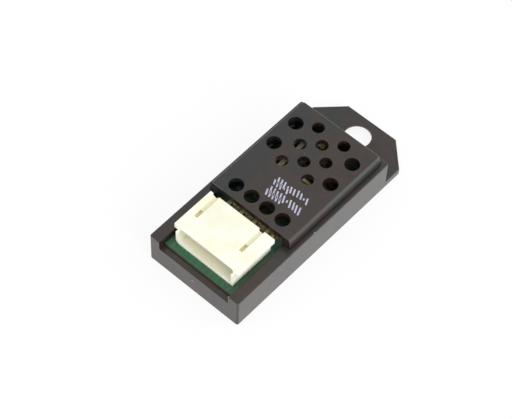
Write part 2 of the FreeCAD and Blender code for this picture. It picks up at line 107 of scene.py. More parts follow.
def pick_edges(piece, test):
    """Go into edit mode and select just the edges whose two ends, in millimetres, pass a test."""
    take(piece)
    bpy.ops.object.mode_set(mode="EDIT")
    bpy.ops.mesh.select_mode(type="EDGE")
    bpy.ops.mesh.select_all(action="DESELECT")
    cage = bmesh.from_edit_mesh(piece.data)
    for edge in cage.edges:
        start, end = (vertex.co / MM for vertex in edge.verts)
        if test(start, end):
            edge.select_set(True)
    cage.select_flush_mode()
    bmesh.update_edit_mesh(piece.data)


def scale_picked(factors, x, y, z):
    """Scale what is selected about a point, in millimetres."""
    bpy.ops.transform.resize(value=factors, center_override=(x * MM, y * MM, z * MM))


def round_edges(piece, radius, test, segments):
    """Round the edges that pass a test."""
    pick_edges(piece, test)
    bpy.ops.mesh.bevel(offset=radius * MM, segments=segments, profile=0.5, affect="EDGES")
    bpy.ops.object.mode_set(mode="OBJECT")


def upright(start, end):
    """Whether an edge stands upright."""
    return math.hypot(start.x - end.x, start.y - end.y) < tolerance < abs(start.z - end.z)


def break_edges(piece, width, segments=2):
    """Break every sharp edge by a small radius, as a mould does."""
    take(piece)
    bpy.ops.object.mode_set(mode="EDIT")
    bpy.ops.mesh.select_all(action="SELECT")
    bpy.ops.mesh.remove_doubles(threshold=merge_gap * MM)
    bpy.ops.mesh.dissolve_limited(angle_limit=math.radians(0.5))
    bpy.ops.object.mode_set(mode="OBJECT")
    modifier = piece.modifiers.new("edges", "BEVEL")
    modifier.width = width * MM
    modifier.segments = segments
    modifier.limit_method = "ANGLE"
    modifier.angle_limit = math.radians(32)
    modifier.use_clamp_overlap = True
    bpy.ops.object.modifier_apply(modifier=modifier.name)


def smooth(piece):
    """Smooth shading with flat faces kept flat."""
    take(piece)
    bpy.ops.object.shade_smooth_by_angle(angle=math.radians(40))
    modifier = piece.modifiers.new("shading", "WEIGHTED_NORMAL")
    modifier.keep_sharp = True
    bpy.ops.object.modifier_apply(modifier=modifier.name)


base_low, base_high = box_mm("case_base")
board_low, board_high = box_mm("circuit_board")
cover_low, cover_high = box_mm("case_cover")
chip_low, chip_high = box_mm("amplifier_chip")
element_low, element_high = box_mm("humidity_element_frame")
resistor_low, resistor_high = box_mm("chip_resistor_1")
flange_reach = 7.0
flange_corner = 3.95
flange_thickness = 1.2
flange_round = 0.12
floor_thickness = 1.2
front_wall = 1.05
side_leaf = 0.74
rear_leaf = 0.64
shoulder = 1.21
sill_drop = 0.55
seat_gap = 0.06
case_corner = 0.35
case_edge = 0.045
rim_round = 0.15
hole_radius = 2.2
hole_edge = 0.45
hole_offset = 3.45
rib_width = 0.8
post_width = 0.6
post_drop = 0.02
peg_radius = 0.6
peg_rise = 0.4
peg_round = 0.1
peg_outset = 0.3
front_peg_shift = 2.24
rear_peg_shift = 4.48
cover_corner = 0.5
snap_length = 3.0
snap_depth = 0.25
snap_height = 0.6
snap_rise = 0.3
snap_play = 0.1
snap_inset = 4.5
# How far a cutting shape stands out of what it cuts, and a merged shape reaches into its neighbour
beyond = 1.0
overlap = 0.2
case_rear = base_high.x - flange_reach
case_half = base_high.y
rim_z = base_high.z
above = rim_z + beyond
pocket_front = base_low.x + front_wall
pocket_rear = case_rear - rear_leaf - shoulder
pocket_half = case_half - side_leaf - shoulder
seat_half = case_half - side_leaf
hole_x = case_rear + hole_offset
chip_x = (chip_low.x + chip_high.x) / 2
element_x = (element_low.x + element_high.x) / 2
peg_row = peg_outset - (resistor_low.y + resistor_high.y) / 2
pegs = [(chip_x - front_peg_shift, -peg_row), (element_x + rear_peg_shift, peg_row)]
snap_places = (cover_low.x + snap_inset, cover_high.x - snap_inset)
snaps = [(x, side) for x in snap_places for side in (-1, 1)]

case_base = new_block("case_base_shell", (base_low.x, -case_half, 0), (case_rear, case_half, rim_z))
round_edges(case_base, case_corner, upright, segments=5)
round_edges(case_base, rim_round, lambda a, b: min(a.z, b.z) > rim_z - tolerance, segments=4)
flange = new_block("flange", (case_rear - 2 * case_corner, -case_half, 0),
                   (base_high.x, case_half, flange_thickness))
round_edges(flange, flange_corner, lambda a, b: upright(a, b) and a.x > case_rear, segments=1)
round_edges(flange, flange_round, segments=4, test=lambda a, b: (
    min(a.z, b.z) > flange_thickness - tolerance and max(a.x, b.x) > case_rear))
combine(case_base, [flange], "UNION")
seat = new_block("seat", (cover_low.x - seat_gap, -seat_half, board_high.z),
                 (case_rear - rear_leaf, seat_half, above))
round_edges(seat, cover_corner + seat_gap, lambda a, b: upright(a, b) and a.x > 0, segments=6)
relief = new_post("relief", hole_x, 0, -hole_edge, flange_thickness - hole_edge, hole_radius, sides=96)
pick_edges(relief, lambda a, b: max(a.z, b.z) < 0)
flare = 1 + flange_thickness / hole_radius
scale_picked((flare, flare, 1), hole_x, 0, -hole_edge)
bpy.ops.object.mode_set(mode="OBJECT")
cutters = [
    relief,
    new_block("pocket", (pocket_front, -pocket_half, floor_thickness),
              (pocket_rear, pocket_half, above)),
    new_block("notch", (base_low.x - beyond, -pocket_half, board_high.z - sill_drop),
              (pocket_front + beyond, pocket_half, above)),
    seat,
    new_post("screw_hole", hole_x, 0, -beyond, flange_thickness + beyond, hole_radius, sides=96),
]
combine(case_base, cutters, "DIFFERENCE")
break_edges(case_base, case_edge)

recess_depth = snap_depth - seat_gap + snap_play
recess_z = board_high.z + snap_rise - snap_play
recesses = []
for x, side in snaps:
    low_y, high_y = sorted((side * (seat_half - overlap), side * (seat_half + recess_depth)))
    recesses.append(new_block("recess", (x - snap_length / 2 - snap_play, low_y, recess_z),
                              (x + snap_length / 2 + snap_play, high_y,
                               recess_z + snap_height + 2 * snap_play)))
combine(case_base, recesses, "DIFFERENCE")
carriers = []
for side in (-1, 1):
    low_y, high_y = sorted((side * (pocket_half - rib_width), side * (pocket_half + overlap)))
    carriers.append(new_block("rib", (pocket_front - overlap, low_y, floor_thickness - overlap),
                              (pocket_rear + overlap, high_y, board_low.z)))
for x, y in pegs:
    carriers.append(new_post("post", x, y, floor_thickness - overlap, board_low.z - post_drop,
                             peg_radius + post_width, sides=48))
    peg = new_post("peg", x, y, floor_thickness - overlap, board_high.z + peg_rise, peg_radius, sides=48)
    round_edges(peg, peg_round, lambda a, b: min(a.z, b.z) > board_high.z, segments=3)
    carriers.append(peg)
combine(case_base, carriers, "UNION")
smooth(case_base)


class Socket:
    """An output of a node, or a bare start in a tree. Arithmetic on sockets adds Math nodes."""

    def __init__(self, tree, output=None):
        self.tree = tree
        self.output = output

    def node(self, kind, settings=None, inputs=None, output=0):
        """A new node of a kind: its settings first, then the values or links of its sockets."""
        made = self.tree.nodes.new(kind)
        for key, value in (settings or {}).items():
            setattr(made, key, value)
        for key, value in (inputs or {}).items():
            if isinstance(value, Socket):
                self.tree.links.new(value.output, made.inputs[key])
            else:
                made.inputs[key].default_value = value
        return Socket(self.tree, made.outputs[output])

    def math(self, operation, other=0.0):
        """A Math node on this value and another one."""
        return self.node("ShaderNodeMath", {"operation": operation}, {0: self, 1: other})

    def __add__(self, other):
        return self.math("ADD", other)

    def __sub__(self, other):
        return self.math("SUBTRACT", other)

    def __rsub__(self, other):
        return self.node("ShaderNodeMath", {"operation": "SUBTRACT"}, {0: other, 1: self})

    def __mul__(self, other):
        return self.math("MULTIPLY", other)

    __radd__ = __add__
    __rmul__ = __mul__

    def noise(self, width, detail=2, roughness=0.5):
        """A noise from 0 to 1 over this vector, whose grain is so many millimetres wide."""
        return self.node("ShaderNodeTexNoise", {}, {"Vector": self, "Scale": 1 / (width * MM),
                                                    "Detail": detail, "Roughness": roughness})

    def stretch(self, x, y, z):
        """This vector, scaled along each axis."""
        return self.node("ShaderNodeMapping", {}, {"Vector": self, "Scale": (x, y, z)})

    def coordinate(self, axis):
        """This vector's X, Y or Z, in millimetres."""
        return self.node("ShaderNodeSeparateXYZ", {}, {0: self}, "XYZ".index(axis)) * (1 / MM)

    def distance(self, point):
        """How far this vector is from a point, both in millimetres."""
        point_m = [value * MM for value in point]
        return self.node("ShaderNodeVectorMath", {"operation": "DISTANCE"},
                         {0: self, 1: point_m}, output=1) * (1 / MM)

    def ripple(self, width):
        """A wave over this value, from 0 up to 1 over a width and back over the next."""
        return self.math("PINGPONG", width) * (1 / width)

    def step(self, low, high):
        """0 below one value, 1 above another, and smooth between."""
        return self.node("ShaderNodeMapRange", {"interpolation_type": "SMOOTHSTEP"},
                         {"Value": self, "From Min": low, "From Max": high})

    def mix(self, first, second):
        """The first colour where this is 0, and the second where it is 1."""
        first, second = ((*tone, 1) if isinstance(tone, tuple) else tone for tone in (first, second))
        # Set to colours, the Mix node takes them at its inputs 6 and 7
        return self.node("ShaderNodeMix", {"data_type": "RGBA"}, {0: self, 6: first, 7: second},
                         output=2)

    def bump(self, height):
        """The normal of a surface whose height, in millimetres, is this value times a number."""
        return self.node("ShaderNodeBump", {}, {"Height": self, "Distance": height * MM})


def colour(red, green, blue):
    """A colour as a screen shows it, from 0 to 255, as the linear values that a shader takes."""
    def linear(value):
        value /= 255
        return value / 12.92 if value <= 0.04045 else ((value + 0.055) / 1.055) ** 2.4
    return linear(red), linear(green), linear(blue)


def find_node(tree, *kinds):
    """The first node of these kinds in a tree."""
    return next(node for node in tree.nodes if node.type in kinds)


def new_material(name, paint, **fixed):
    """A material: paint gets the Object coordinates and says what feeds the shader's sockets."""
    material = bpy.data.materials.new(name)
    material.use_nodes = True
    tree = material.node_tree
    shader = find_node(tree, "BSDF_PRINCIPLED")
    for key, value in fixed.items():
        shader.inputs[key.replace("_", " ")].default_value = value
    place = Socket(tree).node("ShaderNodeTexCoord", output="Object")
    for key, value in paint(place).items():
        if isinstance(value, Socket):
            tree.links.new(value.output, shader.inputs[key])
        else:
            shader.inputs[key].default_value = (*value, 1) if isinstance(value, tuple) else value
    return material


def dress(piece, material):
    """Give a new piece its material, and let it ride on the one body."""
    piece.data.materials.clear()
    piece.data.materials.append(material)
    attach(piece, "root")


# Small scuffs on the base's front wall and rim: place and radius
scuffs = [
    ((base_low.x, 0.2, 2.4), 0.22),
    ((base_low.x, -0.9, 0.4), 0.16),
    ((base_low.x, -6.8, rim_z), 0.22),
    ((-3.6, -case_half, rim_z), 0.18),
]
front_skin = 0.1
dust_spacing = 1.1


def paint_case(place):
    """Black moulded plastic: a faint grain, warm and cooler clouds, smears, flecks, dust and scuffs, and
    painted reflection: a bluish tint along the -Y side.
    """
    along = place.coordinate("X")
    across = place.coordinate("Y")
    grain = place.noise(0.09, detail=3)
    mottle = place.noise(2.2, detail=3, roughness=0.6)
    # Cooler clouds at random, drifting cooler towards +Y and left out near the front
    cool_tone_and_side_reflection = place.noise(3.0) + across * (0.3 / case_half)
    cool_tone_and_side_reflection = cool_tone_and_side_reflection * along.step(base_low.x + 2 * front_wall, base_low.x + 10 * front_wall)
    # Painted reflection: a bluish tint along the -Y side, where those side faces mirror the pale
    # surround
    cool_tone_and_side_reflection = cool_tone_and_side_reflection + (across * -1).step(seat_half - 0.8, seat_half - 0.4) * 0.4
    smears = place.noise(1.6, detail=4, roughness=0.65).step(0.5, 0.74)
    flecks = place.noise(0.28).step(0.54, 0.75)
    dust = place.node("ShaderNodeTexVoronoi", {"feature": "F1"},
                      {"Vector": place, "Scale": 1 / (dust_spacing * MM)})
    dust = (1 - dust.step(0.02, 0.045)) * place.noise(2.5, detail=1).step(0.5, 0.62)
    worn = sum(1 - (place.distance(centre) + grain * radius).step(radius * 0.9, radius * 1.3)
               for centre, radius in scuffs)
    behind_front = along.step(base_low.x + front_skin, base_low.x + 3 * front_skin)
    black = mottle.step(0.35, 0.65).mix(colour(34, 21, 15), colour(41, 27, 21))
    black = (cool_tone_and_side_reflection.step(0.48, 0.72) * 0.85).mix(black, colour(19, 27, 25))
    black = (smears * 0.4).mix(black, colour(44, 36, 32))
    black = (flecks * 0.2).mix(black, colour(64, 61, 60))
    black = (dust * 0.2).mix(black, colour(150, 144, 138))
    return {
        "Base Color": worn.mix(black, colour(150, 148, 146)),
        "Roughness": 0.44 + grain * 0.08 + smears * 0.08 + dust * 0.3,
        "Coat Weight": 0.76 + behind_front * 0.23,
        "Normal": (grain * 0.6 + mottle * 2.0).bump(0.006),
    }


case_plastic = new_material("black moulded plastic", paint_case, Specular_IOR_Level=0.25,
                            Coat_Roughness=0.27)
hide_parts("case_base")
dress(case_base, case_plastic)

# Circuit board
# A 1.6 mm glass-fibre board under green solder mask, held on the tray's ribs by the cover.
# Its sawn edges show the bare laminate. The header's legs pass through plated holes with tinned
# rings, and the tray's two pegs through plain ones.

pin_boxes = [box_mm(f"contact_pin_{i}") for i in range(1, 5)]
pin_size = 0.64
leg_x = pin_boxes[0][1].x - pin_size / 2
leg_rows = [(low.y + high.y) / 2 for low, high in pin_boxes]
leg_hole = 0.53
peg_play = 0.1
board_edge = 0.04
ring_radius = 1.12
ring_height = 0.03
ring_edge = 0.012
track_pitch = 0.62
glass_layer = 0.09

board = new_block("board_laminate", tuple(board_low), tuple(board_high))
holes = [(leg_x, y, leg_hole) for y in leg_rows]
holes += [(x, y, peg_radius + peg_play) for x, y in pegs]
drills = [new_post("drill", x, y, board_low.z - beyond, board_high.z + beyond, radius, sides=40)
          for x, y, radius in holes]
combine(board, drills, "DIFFERENCE")
break_edges(board, board_edge, segments=1)
smooth(board)


def paint_mask(place):
    """Green solder mask: lighter over the tracks, which stand just raised, and darkened with painted
    shade under the cover.
    """
    tracks = place.coordinate("Y").ripple(track_pitch).step(0.55, 0.65)
    tracks = tracks * place.stretch(0.35, 1.6, 1).noise(1.5, detail=0).step(0.45, 0.5)
    weave = place.noise(0.35)
    tint = place.noise(1.8, detail=3).step(0.42, 0.68)
    # Painted shade: the mask turns dark olive from just before the cover's front edge, where the cover
    # shades the board
    shaded = place.coordinate("X").step(cover_low.x - 0.6, cover_low.x + 0.4)
    mask = (tracks * 0.5 + weave * 0.15).mix(colour(32, 86, 58), colour(44, 106, 76))
    mask = (tint * 0.45).mix(mask, colour(62, 76, 50))
    return {
        "Base Color": (shaded * 0.7).mix(mask, colour(44, 48, 34)),
        "Roughness": 0.34 + weave * 0.15,
        "Normal": (tracks + weave * 0.3).bump(0.02),
    }


def paint_laminate(place):
    """The sawn edge: straw-green glass fibre in thin layers, rough."""
    layers = place.coordinate("Z").ripple(glass_layer)
    fibres = place.noise(0.12, detail=3)
    return {
        "Base Color": (layers * 0.4 + fibres * 0.4).mix(colour(58, 60, 42), colour(92, 92, 66)),
        "Roughness": 0.62 + fibres * 0.2,
        "Normal": (layers + fibres).bump(0.012),
    }


mask_green = new_material("green solder mask", paint_mask, Coat_Weight=0.25, Coat_Roughness=0.15)
laminate = new_material("sawn laminate", paint_laminate)
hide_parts("circuit_board")
dress(board, mask_green)
board.data.materials.append(laminate)
for face in board.data.polygons:
    if abs(face.normal.z) < 0.5:
        face.material_index = 1


def plain_finish(dark, light, width, roughness, height, detail=3, spread=0.2):
    """A paint for one plain substance: its grain moves its colour, roughness and height a little."""
    def paint(place):
        grain = place.noise(width, detail)
        return {
            "Base Color": grain.mix(colour(*dark), colour(*light)),
            "Roughness": roughness + grain * spread,
            "Normal": grain.bump(height),
        }
    return paint


tin = new_material("tin plate", plain_finish(
    (124, 114, 78), (146, 136, 96), width=0.4, roughness=0.4, height=0.01), Metallic=1.0)


def new_ring():
    """The first leg's ring: a low disc on the board, cut through for the leg."""
    z = board_high.z
    ring = new_post("ring", leg_x, leg_rows[0], z, z + ring_height, ring_radius, sides=48)
    hole = new_post("hole", leg_x, leg_rows[0], z - beyond, z + beyond, leg_hole, sides=48)
    combine(ring, [hole], "DIFFERENCE")
    break_edges(ring, ring_edge, segments=1)
    smooth(ring)
    return ring


def copy_piece(first, name, change):
    """A copy with its own mesh, moved or mirrored by a matrix."""
    copy = first.copy()
    copy.data = first.data.copy()
    copy.name = copy.data.name = name
    copy.data.transform(change)
    bpy.context.collection.objects.link(copy)
    return copy


def at_leg(first, stem, number):
    """A piece made at the first leg: itself for leg 1, and a copy of it for another leg."""
    if number == 1:
        first.name = first.data.name = f"{stem}_1"
        return first
    across = Matrix.Translation((0, (leg_rows[number - 1] - leg_rows[0]) * MM, 0))
    return copy_piece(first, f"{stem}_{number}", across)


first_ring = new_ring()
for number in range(1, 5):
    dress(at_leg(first_ring, "solder_ring", number), tin)

# Amplifier, regulator and chip parts
# Surface-mounted parts reflowed onto the board under the cover, seen only through the vents.
# They keep their CAD shapes: black mouldings, glazed chips, and tinned ends darkened as painted shade
# under the cover.


def paint_glaze(place):
    """The resistors' black glaze, with the ceramic showing through thin spots at the edges."""
    cloud = place.noise(0.3, detail=3)
    return {
        "Base Color": cloud.step(0.68, 0.75).mix(colour(20, 20, 23), colour(88, 86, 84)),
        "Roughness": 0.3 + cloud * 0.2,
        "Normal": cloud.bump(0.01),
    }


def redress(nodes, material):
    """Give CAD nodes that keep their shape a better material."""
    for node in nodes:
        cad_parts[node].material_slots[0].material = material


resistors = [f"chip_resistor_{i}" for i in range(1, 5)]
capacitors = [f"chip_capacitor_{i}" for i in range(1, 4)]
moulding = new_material("chip moulding", plain_finish(
    (22, 22, 23), (38, 37, 37), width=0.06, roughness=0.55, height=0.008))
black_glaze = new_material("black glaze", paint_glaze)
brown_ceramic = new_material("brown ceramic", plain_finish(
    (104, 78, 56), (128, 100, 74), width=0.08, roughness=0.45, height=0.006))
dark_ceramic = new_material("dark ceramic", plain_finish(
    (46, 40, 37), (68, 60, 55), width=0.07, roughness=0.5, height=0.006))
# Painted shade: a darker copy of the tin, for the tinned ends and leads under the cover
shaded_tin = new_material("shaded tin", plain_finish(
    (38, 36, 32), (50, 47, 42), width=0.4, roughness=0.55, height=0.01), Metallic=0.3)
redress(["amplifier_chip", "voltage_regulator"], moulding)
redress(resistors, black_glaze)
redress(capacitors, brown_ceramic)
redress(["thermistor"], dark_ceramic)
redress(["amplifier_chip_leads", "voltage_regulator_leads"], shaded_tin)
redress([f"{node}_caps" for node in resistors + capacitors + ["thermistor"]], shaded_tin)

# Humidity element
# A dark ceramic plate with two gold combs under a polymer film, in a beige moulded frame.
# Two flat leads run out through its ends and are soldered to the board. The vents lie above it.


def paint_beige(place):
    """Beige moulded plastic, matt, with a faint mottle, and a painted highlight: paler towards +Y, where
    light through the vents falls.
    """
    mottle = place.noise(0.7, detail=3)
    tanned = mottle.mix(colour(166, 138, 88), colour(190, 162, 112))
    return {
        # Painted highlight: the frame pales towards +Y, where light through the vents lands on it
        "Base Color": place.coordinate("Y").step(1.0, 1.8).mix(tanned, colour(236, 222, 190)),
        "Roughness": 0.45 + mottle * 0.15,
        "Normal": mottle.bump(0.01),
    }


def paint_film(place):
    """The sensing film: a dark amber polymer, unevenly dried, so that it is clearer in places."""
    pools = place.noise(1.2)
    return {
        "Base Color": pools.mix(colour(40, 27, 18), colour(66, 46, 28)),
        "Alpha": 0.72 + pools * 0.2,
        "Roughness": 0.3 + pools * 0.15,
        "Normal": pools.bump(0.02),
    }


brown_plate = new_material("brown ceramic plate", plain_finish(
    (66, 52, 44), (84, 68, 58), width=0.05, roughness=0.55, height=0.004, spread=0.15))
printed_gold = new_material("printed gold", plain_finish(
    (216, 196, 150), (236, 218, 176), width=0.05, roughness=0.34, height=0.004, detail=2,
    spread=0.15), Metallic=0.5)
redress(["humidity_element_frame"], new_material("beige plastic", paint_beige))
redress(["humidity_element_plate"], brown_plate)
redress(["comb_electrode_front", "comb_electrode_rear"], printed_gold)
redress(["sensing_film"], new_material("sensing film", paint_film))
redress(["element_lead_front", "element_lead_rear", "element_lead_solder"], shaded_tin)

# Connector housing
# A shrouded header moulded in ivory nylon: a lower body, open to the front and well rounded at one
# bottom corner, under a wider top plate. The plate has two blind lock slots, each with a shallow
# groove and a notch behind it.

header_low, header_high = box_mm("connector_housing")
header_body_half = 5.65
header_plate = 1.0
header_roof = 0.45
header_floor = 0.6
header_side = 0.45
header_back = 1.3
header_lip = 0.45
header_corner_far = 0.85
header_corner_near = 0.15
header_edge = 0.06
mouth_corner = 0.4
slot_length = 1.5
slot_width = 0.7
slot_depth = 0.6
slot_wall = 0.25
slot_back = 4.1
groove_depth = 0.15
notch_depth = 0.3
notch_width = 1.0
notch_drop = 0.3
# Outwards from the header's outer legs: the middle of each lock slot, and of the notch behind it
slot_far = 1.12
notch_far = 1.5
slot_near = 0.17
notch_near = 0.1
lock_rows = [
    (leg_rows[-1] + slot_far, leg_rows[-1] + notch_far),
    (leg_rows[0] - slot_near, leg_rows[0] - notch_near),
]
plate_z = header_high.z - header_plate
lip_x = header_low.x + header_lip
mouth_half = header_body_half - header_side
mouth_floor = header_low.z + header_floor
mouth_roof = header_high.z - header_roof
slot_x = header_high.x - slot_back
slot_floor = header_high.z - slot_depth
header_above = header_high.z + beyond

header = new_block("connector_shroud", (header_low.x, -header_body_half, header_low.z),
                   (header_high.x, header_body_half, plate_z + header_plate / 2))
for side, radius in ((1, header_corner_far), (-1, header_corner_near)):
    round_edges(header, radius, segments=6, test=lambda a, b: (
        max(a.z, b.z) < header_low.z + tolerance and
        min(side * a.y, side * b.y) > header_body_half - tolerance))
plate = new_block("plate", (lip_x, header_low.y, plate_z), tuple(header_high))
cavity = new_block("cavity", (header_low.x - beyond, -mouth_half, mouth_floor),
                   (header_high.x - header_back, mouth_half, mouth_roof))
round_edges(cavity, mouth_corner, lambda a, b: abs(a.x - b.x) > tolerance, segments=5)
over = new_block("over", (header_low.x - beyond, header_low.y, plate_z),
                 (lip_x, header_high.y, header_above))
combine(header, [plate], "UNION")
combine(header, [cavity], "DIFFERENCE")
half_length = slot_length / 2
half_width = slot_width / 2
cutters = [over]
for slot_y, notch_y in lock_rows:
    boss = new_block("boss", (slot_x - half_length - slot_wall, slot_y - half_width - slot_wall,
                              slot_floor - slot_wall),
                     (slot_x + half_length + slot_wall, slot_y + half_width + slot_wall,
                      header_high.z - header_roof / 2))
    combine(header, [boss], "UNION")
    cutters.append(new_block("slot", (slot_x - half_length, slot_y - half_width, slot_floor),
                             (slot_x + half_length, slot_y + half_width, header_above)))
    cutters.append(new_block("groove", (slot_x, slot_y - half_width, header_high.z - groove_depth),
                             (header_high.x + beyond, slot_y + half_width, header_above)))
    cutters.append(new_block("notch", (header_high.x - notch_depth, notch_y - notch_width / 2,
                                       plate_z - notch_drop),
                             (header_high.x + beyond, notch_y + notch_width / 2, header_above)))
combine(header, cutters, "DIFFERENCE")
break_edges(header, header_edge)
smooth(header)


def paint_ivory(place):
    """Ivory nylon: nearly white, a little yellower in patches, with painted shade in the grooves and
    lock slots, and painted light, warmer and paler, in the mouth.
    """
    along, across, height = (place.coordinate(axis) for axis in "XYZ")
    patches = place.noise(3.2)
    grain = place.noise(0.12, detail=3)
    far_slot, near_slot = ((across - slot_y).math("ABSOLUTE") for slot_y, notch_y in lock_rows)
    # Painted shade: darker and yellower on the groove floors and in the lock slots, below the top face
    painted_groove_shade = 1 - far_slot.math("MINIMUM", near_slot).step(slot_width * 0.4, slot_width * 0.8)
    painted_groove_shade = painted_groove_shade * along.step(slot_x - slot_length, slot_x) * height.step(plate_z, plate_z + 0.3)
    painted_groove_shade = painted_groove_shade * (1 - height.step(header_high.z - groove_depth, header_high.z - 0.02))
    # Painted light: the mouth's inner faces are warmer and paler, standing for light bounced round in it
    inside = along.step(header_low.x, header_low.x + 0.8)
    inside = inside * (1 - across.math("ABSOLUTE").step(mouth_half - 0.1, mouth_half + 0.1))
    inside = inside * height.step(mouth_floor - 0.2, mouth_floor + 0.1)
    inside = inside * (1 - height.step(mouth_roof - 0.05, mouth_roof + 0.01))
    ivory = patches.step(0.4, 0.7).mix(colour(241, 244, 226), colour(239, 237, 214))
    ivory = (inside * 0.8).mix(ivory, colour(253, 245, 214))
    return {
        "Base Color": (painted_groove_shade * 0.6).mix(ivory, colour(218, 209, 164)),
        "Roughness": 0.42 + grain * 0.12,
        "Normal": (grain * 0.5 + patches * 1.5).bump(0.008),
    }


ivory_nylon = new_material("ivory nylon", paint_ivory, Subsurface_Weight=0.35,
                           Subsurface_Scale=1.0 * MM, Subsurface_Radius=(1.0, 0.95, 0.8))
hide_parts("connector_housing")
dress(header, ivory_nylon)

# Contact pins and their solder
# Four square plated wires, pressed through the header's rear wall, bent down and soldered into the
# board. The solder wets each leg and spreads over its ring in a hollow curve, above and below.

pin_z = box_mm("contact_pin_1")[1].z - pin_size / 2
pin_front = pin_boxes[0][0].x
pin_bottom = pin_boxes[0][0].z
pin_taper = 0.2
pin_bend = 0.7
pin_edge = 0.06
solder_radius = 0.98
solder_neck = 0.4
solder_height = 0.55
solder_rings = 7
solder_hollow = 2.2


def draw_out(x, y, z):
    """Extrude what is selected, by a distance in millimetres."""
    bpy.ops.mesh.extrude_region_move(TRANSFORM_OT_translate={"value": (x * MM, y * MM, z * MM)})


def new_pin():
    """The first pin: a square wire, drawn out, spun round its bend and drawn down to its tail."""
    middle_y = leg_rows[0]
    half = pin_size / 2
    pin = new_block("pin", (pin_front, middle_y - half, pin_z - half),
                    (pin_front + pin_taper, middle_y + half, pin_z + half))
    pick_edges(pin, lambda a, b: max(a.x, b.x) < pin_front + tolerance)
    narrow = 1 - pin_taper / pin_size
    scale_picked((1, narrow, narrow), pin_front, middle_y, pin_z)
    pick_edges(pin, lambda a, b: min(a.x, b.x) > pin_front + pin_taper - tolerance)
    draw_out(leg_x - pin_bend - pin_front - pin_taper, 0, 0)
    bpy.ops.mesh.spin(steps=8, angle=math.radians(90), axis=(0, 1, 0),
                      center=((leg_x - pin_bend) * MM, middle_y * MM, (pin_z - pin_bend) * MM))
    draw_out(0, 0, pin_bottom + pin_taper - pin_z + pin_bend)
    draw_out(0, 0, -pin_taper)
    scale_picked((narrow, narrow, 1), leg_x, middle_y, pin_bottom)
    bpy.ops.mesh.select_all(action="SELECT")
    bpy.ops.mesh.remove_doubles(threshold=merge_gap * MM)
    bpy.ops.mesh.normals_make_consistent(inside=False)
    bpy.ops.object.mode_set(mode="OBJECT")
    break_edges(pin, pin_edge)
    smooth(pin)
    return pin


def new_solder():
    """The first joint's upper half: a disc on the ring, drawn up round the leg in a hollow curve."""
    x = leg_x
    y = leg_rows[0]
    bpy.ops.object.select_all(action="DESELECT")
    bpy.ops.mesh.primitive_circle_add(vertices=32, radius=solder_radius * MM, fill_type="NGON",
                                      location=(x * MM, y * MM, board_high.z * MM))
    joint = bpy.context.object
    bpy.ops.object.transform_apply(location=True, rotation=True, scale=True)
    bpy.ops.object.mode_set(mode="EDIT")
    bpy.ops.mesh.select_mode(type="FACE")
    bpy.ops.mesh.select_all(action="SELECT")
    radius = solder_radius
    for i in range(1, solder_rings + 1):
        share = i / solder_rings
        wanted = solder_neck + (solder_radius - solder_neck) * (1 - share) ** solder_hollow
        draw_out(0, 0, solder_height / solder_rings)
        scale_picked((wanted / radius, wanted / radius, 1), x, y, board_high.z + solder_height * share)
        radius = wanted
    bpy.ops.mesh.select_all(action="SELECT")
    bpy.ops.mesh.normals_make_consistent(inside=False)
    bpy.ops.object.mode_set(mode="OBJECT")
    bpy.ops.object.shade_smooth_by_angle(angle=math.radians(50))
    return joint


def paint_plated(place):
    """Plated brass: warm, drawn along its length, dulled by tarnish and flux."""
    drawn = place.stretch(0.2, 1, 1).noise(0.08)
    tarnish = place.noise(0.6, detail=3)
    return {
        "Base Color": tarnish.mix(colour(122, 106, 66), colour(144, 128, 84)),
        "Roughness": 0.42 + drawn * 0.12,
        "Normal": drawn.bump(0.002),
    }


def paint_solder(place):
    """Solder under a skin of amber flux, softly uneven."""
    skin = place.noise(0.5)
    flux = place.noise(0.7).step(0.4, 0.6)
    return {
        "Base Color": flux.mix(colour(150, 133, 84), colour(122, 105, 58)),
        "Roughness": 0.42 + skin * 0.12,
        "Normal": skin.bump(0.012),
    }


plated = new_material("plated brass", paint_plated, Metallic=0.4)
solder = new_material("solder", paint_solder, Metallic=0.4, Coat_Weight=0.9, Coat_Roughness=0.16)
first_pin = new_pin()
first_top = new_solder()
# Mirrored through the middle of the board, the upper half gives the lower one
lower = Matrix.Translation((0, 0, (board_high.z + board_low.z) * MM)) @ Matrix.Diagonal((1, 1, -1, 1))
first_bottom = copy_piece(first_top, "bottom", lower)
first_bottom.data.flip_normals()
for number in range(1, 5):
    pin = at_leg(first_pin, "contact_wire", number)
    top = at_leg(first_top, "solder_top", number)
    bottom = at_leg(first_bottom, "solder_bottom", number)
    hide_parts(f"contact_pin_{number}")
    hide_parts(f"pin_solder_{number}")
    dress(pin, plated)
    dress(top, solder)
    dress(bottom, solder)

# Case cover
# The vented cover, moulded in the same black plastic, with sides and rear that lean inwards above
# the rim. It drops in between the base's walls, stands on their steps and clamps the board, and four
# small ridges snap into the base. It is open towards the connector, above the solder joints.

cover_half = seat_half - seat_gap
cover_plate = 1.0
cover_lean_left = 0.41
cover_lean_right = 0.26
cover_lean_rear = 0.41
cover_round = 0.18
cover_edge = 0.05
skirt = 1.56
snap_slope = 0.4
large_vent = 1.2
small_vent = 1.0
front_vent_inset = 2.1
front_vent_pitch = 3.04
front_vent_count = 4
vent_offset = 0.4
vent_step = 2.075
small_vent_side = 2.55
large_vent_side = 5.6
large_vent_spread = 2.475
vent_x = element_x + vent_offset
plate_bottom = cover_high.z - cover_plate
first_vent_y = (1 - front_vent_count) / 2 * front_vent_pitch
vents = [(cover_low.x + front_vent_inset, first_vent_y + i * front_vent_pitch, large_vent)
         for i in range(front_vent_count)]
for column in range(-2, 3):
    rows = [0] if column % 2 else [-small_vent_side, small_vent_side]
    vents += [(vent_x + column * vent_step, y, small_vent) for y in rows]
vents += [(vent_x + side * large_vent_spread, y, large_vent)
          for side in (-1, 1) for y in (-large_vent_side, large_vent_side)]

